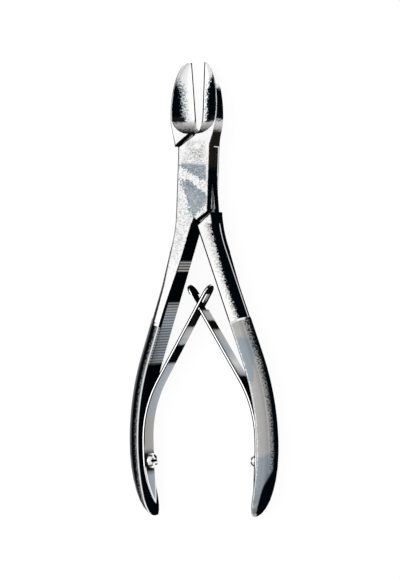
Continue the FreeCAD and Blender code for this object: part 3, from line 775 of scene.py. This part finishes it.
def lever_steel():
    material, shader, place, normal = new_surface("lever_steel")
    x, y, z = axes(place)
    upright = axes(normal)[2]
    sideways = axes(normal)[0]
    stipple = noise(place, 1.7, 2.0).between(0.3, 0.7)
    grain = noise(place, 3.0, 2.0)
    cloud = noise(place, 0.22, 3.0)
    right = x.between(-0.2, 0.2)
    run, out = handle_reach(x, y)
    front = upright.between(0.72, 0.9)

    hollow, in_hollow = painted_hollow_shading(x, y, z, upright, stipple)
    plate = plate_colour(x, y, stipple, cloud)
    # Painted reflections and shade on the jaws' and box's sides: black and brown-black, grey and pale on the
    # heel, a white painted highlight near the tip.
    jaw_side_reflections = along(y + (stipple - 0.5) * 2, (-14.0, BLACK), (3.8, BLACK), (4.8, BROWN_BLACK),
                     (18.6, BROWN_BLACK), (19.4, WARM_GREY), (22.2, PALE), (23.0, BLACK),
                     (35.0, BLACK), (36.5, WHITE), (46.0, WHITE))
    head = front.blended(jaw_side_reflections, plate)
    head = in_hollow.blended(head, hollow)

    shank = painted_shank_shading(run, out, right, stipple, z, upright)
    grip = painted_grip_shading(out, right, stipple, cloud, x, y, sideways)
    on_grip = (run - (1 - right) * 1.7).between(GRIP_AT - 0.1, GRIP_AT + 0.1)
    handle = on_grip.blended(shank, grip)
    # Painted highlight: a white line along the right grip's step.
    step = run.band(GRIP_AT - 0.25, GRIP_AT + 0.55, 0.1) * out.band(0.2, 5.9, 0.2) * right
    handle = step.blended(handle, WHITE)
    # Painted reflections on the left handle's inner side, and painted dark grey shade on the right one's.
    inner = (sideways.size().between(0.75, 0.9)) * out.between(0.25, 0.05)
    left_inner_reflections = painted_inner_reflections(y, stipple)
    facing = (1 - right) * (out.between(1.75, 1.65) * on_grip).most(inner)
    facing = facing.most((1 - right) * out.between(0.1, -0.1))
    handle = facing.blended(handle, left_inner_reflections)
    handle = (right * inner).blended(handle, DARK_GREY)

    on_handle = (y + x.size() * 0.75).between(-13.2, -13.6)
    on_handle = y.between(-14.0, -15.5).least(on_handle.most(y.between(-17.0, -18.0)))
    colour = on_handle.blended(head, handle)

    # Painted highlight: the bright ridge line of the left grip.
    ridge = (1 - right) * on_grip * out.band(1.1, 1.7, 0.08)
    ridge = ridge * upright.between(0.1, 0.3) * run.between(120, 116)
    # Painted sheen on the left-facing sides: pale in the middle, darker to the top and bottom.
    unseen_side_sheen = along(z + grain, (0.0, DARK_GREY), (2.5, WARM_GREY), (4.5, PALE), (6.5, WARM_GREY),
                        (DEPTH, DARK_GREY))
    left_side = sideways.between(-0.45, -0.65) * x.between(-5.5, -6.5)
    colour = left_side.blended(colour, unseen_side_sheen)
    back = upright.between(-0.3, -0.6)
    colour = back.blended(colour, scaled(cloud.blended(PALE, WARM_GREY), 1.1))
    # The painted highlight lines are white, and matt below.
    lines = ridge.most(painted_side_highlights(y, z) * right * sideways.between(0.4, 0.6)).most(step)
    colour = lines.blended(colour, WHITE)
    # Painted shade: dark lines along the front faces' edges, left off at the step and inside the grips.
    inside_grip = on_grip * out.between(0.3, 0.6)
    outline = painted_edge_shade(place, x, y, upright) * (1 - step) * (1 - inside_grip)
    colour = outline.blended(colour, BLACK)
    tone = colour.node("ShaderNodeRGBToBW", {"Color": colour})
    speck = 1.06 - (stipple * 0.7 + grain.between(0.38, 0.7) * 0.3) * (0.36 - tone * 0.28)
    # Painted shade: faces that look straight up, where they mirror the lamp, are darkened, less so on the
    # shanks and grips.
    whiter = run.between(5, 36) * (1 - on_grip) * 0.12 + on_grip * 0.22
    lamp_glare_shade = 1 - upright.between(0.955, 0.995) * (0.44 - whiter) * (1 - in_hollow)
    colour = scaled(colour, speck * lamp_glare_shade)
    shine = 0.26 + cloud * 0.1 + on_grip * 0.14
    link_painted_steel(shader, place, colour, shine, grain + stipple * 0.3, 0.06, lines.most(in_hollow * 0.7))
    return material


# %% [markdown]
# A leaf is polished spring steel. Its broad face is painted with bands of black, warm grey
# and blue-grey, painted reflections of what it would mirror along its bend, and its narrow
# front edge is a painted highlight, a bright thin line. The bands follow the leaf, so they
# are stops along Y, which falls steadily from tip to foot.

# %% Leaf steel
def leaf_steel(name, side):
    material, shader, place, normal = new_surface(name)
    x, y, z = axes(place)
    up, across = axes(place.node("ShaderNodeUVMap", {}, uv_map="section"))[:2]
    half = axes(place.node("ShaderNodeUVMap", {}, uv_map="width"))[0]
    grain = noise(place, 2.4, 3.0)
    stipple = noise(place, 1.7, 2.0).between(0.3, 0.7)
    moved = y + (stipple - 0.5) * 0.5
    # Painted reflections: bands of black and greys along Y, different for each leaf.
    if side < 0:
        bands = along(moved, (-127.0, PALE), (-124.0, BLUE_GREY), (-115.5, BLUE_GREY), (-113.5, BROWN_BLACK),
                      (-107.0, BROWN_BLACK), (-105.0, WARM_GREY), (-93.0, WARM_GREY), (-92.4, BLUE_GREY),
                      (-72.4, BLUE_GREY), (-71.2, BLACK), (-64.6, BLACK), (-63.8, BLUE_GREY),
                      (-61.8, BLUE_GREY), (-61.4, LIGHT_GREY), (-58.2, WARM_GREY),
                      (-57.2, BROWN_BLACK), (-41.0, BROWN_BLACK))
    else:
        bands = along(moved, (-127.0, DARK_GREY), (-88.0, BLACK), (-77.0, BLACK), (-75.4, BLUE_GREY),
                      (-71.8, PALE), (-67.0, BLUE_GREY), (-62.4, BLUE_GREY), (-61.8, WARM_GREY),
                      (-59.4, WARM_GREY), (-58.3, BROWN_BLACK), (-55.2, BROWN_BLACK),
                      (-54.5, WARM_GREY), (-51.6, WARM_GREY), (-50.9, BLACK), (-41.0, BLACK))
    # Painted shade: a black border along the front near the foot and black along the broad face's edges; a
    # painted white highlight round the tail.
    tail = y.between(-111.5, -113.0)
    front_border = (half - up).between(0.95, 0.75) * y.between(-106, -102)
    tail_border = (half - up.size()).between(1.05, 0.85) * tail
    colour = front_border.blended(scaled(bands, 0.8), BLACK)
    colour = tail_border.blended(colour, WHITE)
    colour = across.size().between(0.49, 0.44).blended(colour, BLACK)
    # Painted highlight: a white line along the narrow front edge, left off at the neck on the right leaf.
    seen = across * side
    edge = seen.between(-0.02, 0.06) * seen.between(0.47, 0.4)
    if side > 0:
        edge = edge * (1 - y.band(-51.4, -44.5, 0.1) * z.between(8.4, 8.2))
    colour = edge.blended(colour, WHITE)
    colour = scaled(colour, (grain - 0.5) * 0.2 + 1)
    link_painted_steel(shader, place, colour, 0.2 + grain * 0.08, grain, 0.05)
    return material


# %% [markdown]
# A leaf screw has a domed head with one slot. Polished that bright, its slot is painted
# black shade, and two small dark things that it would mirror are painted on it as dark
# reflections. They are laid out in the head's own coordinates: up along the handle, and back
# through it.

# %% Screw steel
def screw_steel():
    """Bright domed head: painted black shade in its slot and two painted dark reflections."""
    material, shader, place, normal = new_surface("screw_steel")
    x, y, z = axes(place)
    angle = open_lean - (SCREW_AT - SHANK_RUN) / HANDLE_BOW
    across = x.size() - float(BOW_CENTRE[0])
    up = (y - float(BOW_CENTRE[1])) * math.cos(angle) - across * math.sin(angle)
    back = z - DEPTH / 2
    radius = up.node("ShaderNodeVectorMath", {0: combine(up, back)}, output=1, operation="LENGTH")
    grain = noise(place, 2.8, 3.0)
    # Painted shade in the slot; spot and lens are painted dark reflections.
    slot = up.size().between(0.56, 0.44) * radius.between(2.8, 2.6)
    spot = combine(up - 1.5, back - 0.3)
    spot = up.node("ShaderNodeVectorMath", {0: spot}, output=1, operation="LENGTH").between(0.95, 0.85)
    lens = up.band(-1.75, -1.2, 0.08) * back.size().between(1.3, 1.1)
    colour = slot.most(spot.most(lens)).blended(WHITE, BLACK)
    link_painted_steel(shader, place, colour, 0.18 + grain * 0.08, grain, 0.05)
    return material


# %% [markdown]
# Each piece now gets its steel with its painted light and shade. The two leaves carry
# different painted reflections, so each has a steel of its own, and the levers and the pin's
# flush ends share one.

# %% Give the finishes
lever_painted_steel = lever_steel()
screw_painted_steel = screw_steel()
for name in ("female_lever_shell", "male_lever_shell", "pin_ends"):
    copies[name].data.materials.append(lever_painted_steel)
for name in ("left_screw_head", "right_screw_head"):
    copies[name].data.materials.append(screw_painted_steel)
for leaf, side in ((left_leaf, -1), (right_leaf, 1)):
    leaf.data.materials.clear()
    leaf.data.materials.append(leaf_steel(leaf.name + "_steel", side))
    print(leaf.name, "has", leaf.data.materials[0].name)
print(lever_painted_steel.name, "has", len(lever_painted_steel.node_tree.nodes), "nodes")

# %% Sizes
sizes = {"cad": [list(corner) for corner in cad_box], "visual": [list(corner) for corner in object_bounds()]}
print("visual size in mm", [round((high - low) / MM, 1) for low, high in zip(*sizes["visual"])])
